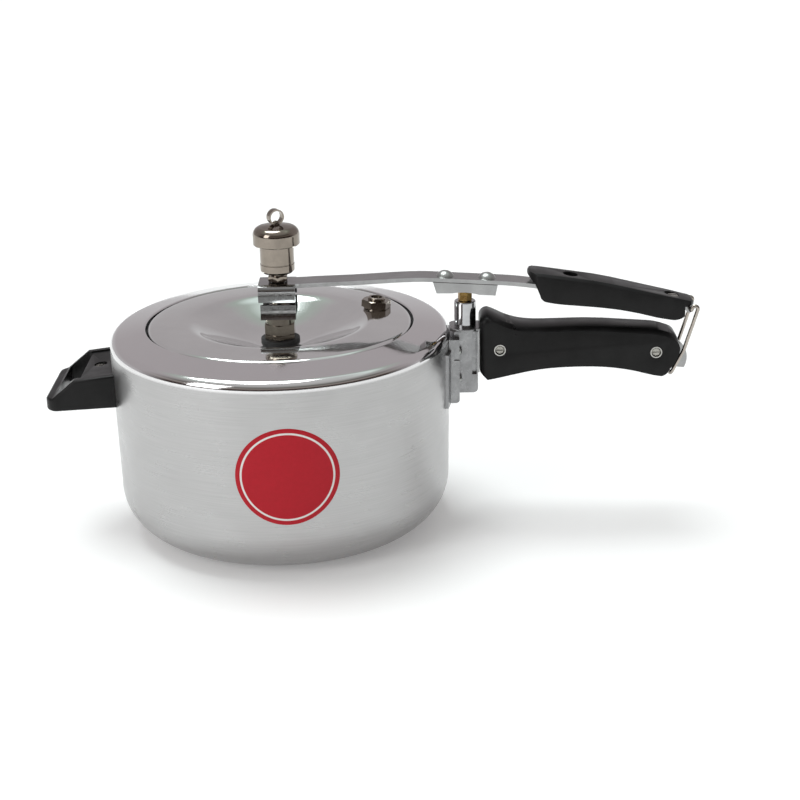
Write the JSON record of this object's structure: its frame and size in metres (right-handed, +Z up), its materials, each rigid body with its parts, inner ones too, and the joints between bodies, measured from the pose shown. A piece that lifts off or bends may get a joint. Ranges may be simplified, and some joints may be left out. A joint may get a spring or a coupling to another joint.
{
  "type": "stovetop pressure cooker",
  "caption": "Stovetop pressure cooker: a lever bar pulls the inner lid up against the pot's mouth and a wire loop latches it; weight valve on top.",
  "frame": {"origin": "centre of the pot's flat base, on the surface it stands on", "axes": "+X along the long handles, +Y away from the side with the round label, +Z up"},
  "size_m": [0.4217, 0.22, 0.2087],
  "materials": {
    "pot_aluminium": "brushed round the wall, polished at the shoulder and top",
    "lid_aluminium": "mirror polished spinning",
    "bracket_steel": "plated steel with a satin face",
    "bar_steel": "polished plated strip",
    "chrome_post": "turned and chromed",
    "nickel": "nickel plated, warm tint, light wear",
    "wire_steel": "drawn wire, semi-bright",
    "zinc_rivet": "formed rivet heads, satin",
    "fastener_steel": "zinc plated screws and nuts",
    "ferrule": "pressed ring, satin",
    "brass_screw": "turned brass, light tarnish",
    "phenolic_black": "moulded phenolic, semi-gloss",
    "gasket_rubber": "matt black rubber",
    "label_film": "printed film, red with a pale ring",
    "fusible_metal": "dull cast alloy plug"
  },
  "bodies": {
    "pot": {"pot_body": "pot_aluminium", "backing_plate": "bracket_steel", "body_bracket": "bracket_steel", "bracket_rivets": "zinc_rivet", "fulcrum_post": "chrome_post", "post_collar": "bracket_steel", "handle_tang": "bar_steel", "body_handle": "phenolic_black", "handle_ferrules": "ferrule", "handle_screws": "fastener_steel", "handle_nuts": "fastener_steel", "helper_handle": "phenolic_black", "helper_bracket": "bracket_steel", "helper_rivets": "zinc_rivet", "helper_screw": "fastener_steel", "helper_nut": "fastener_steel", "front_label": "label_film"},
    "adjuster": {"adjusting_screw": "brass_screw"},
    "lever": {"lever_bar": "bar_steel", "pivot_channel": "bar_steel", "pivot_rivets": "zinc_rivet", "lid_handle": "phenolic_black", "lid_handle_screws": "fastener_steel", "lid_handle_nuts": "fastener_steel"},
    "latch_loop": {"latch_loop": "wire_steel"},
    "lid": {"lid_shell": "lid_aluminium", "lid_gasket": "gasket_rubber", "vent_seal_washer": "gasket_rubber", "boss_nut": "nickel", "lid_bracket": "bar_steel", "bracket_nut": "nickel", "vent_tube": "nickel", "vent_tube_nut": "nickel", "valve_washer": "nickel", "safety_valve_body": "nickel", "safety_valve_plug": "fusible_metal", "safety_valve_nut": "nickel"},
    "weight": {"weight_body": "nickel", "weight_needle": "nickel", "weight_cap": "nickel", "weight_ring": "nickel", "weight_ring_rivet": "nickel"}
  },
  "joints": [
    {"name": "lever_lift", "type": "hinge", "parent": "pot", "child": "lever", "pos_m": [0.1203, 0, 0.15443], "axis": [0, -1, 0], "range_deg": [0, 5]},
    {"name": "lid_level", "type": "hinge", "parent": "lever", "child": "lid", "pos_m": [0, 0, 0.1613], "axis": [0, -1, 0], "range_deg": [-5, 0]},
    {"name": "loop_swing", "type": "hinge", "parent": "lever", "child": "latch_loop", "pos_m": [0.2654, 0, 0.1388], "axis": [0, -1, 0], "range_deg": [0, 150]},
    {"name": "weight_lift", "type": "slide", "parent": "lid", "child": "weight", "axis": [0, 0, 1], "range_m": [0, 0.06]},
    {"name": "adjuster_turn", "type": "hinge", "parent": "pot", "child": "adjuster", "pos_m": [0.1203, 0, 0.146], "axis": [0, 0, 1], "range_deg": [-180, 180]}
  ],
  "couplings": [
    {"joint": "lid_level", "follows": "lever_lift", "ratio": -1},
    {"joint": "loop_swing", "follows": "lever_lift", "ratio": 30}
  ]
}
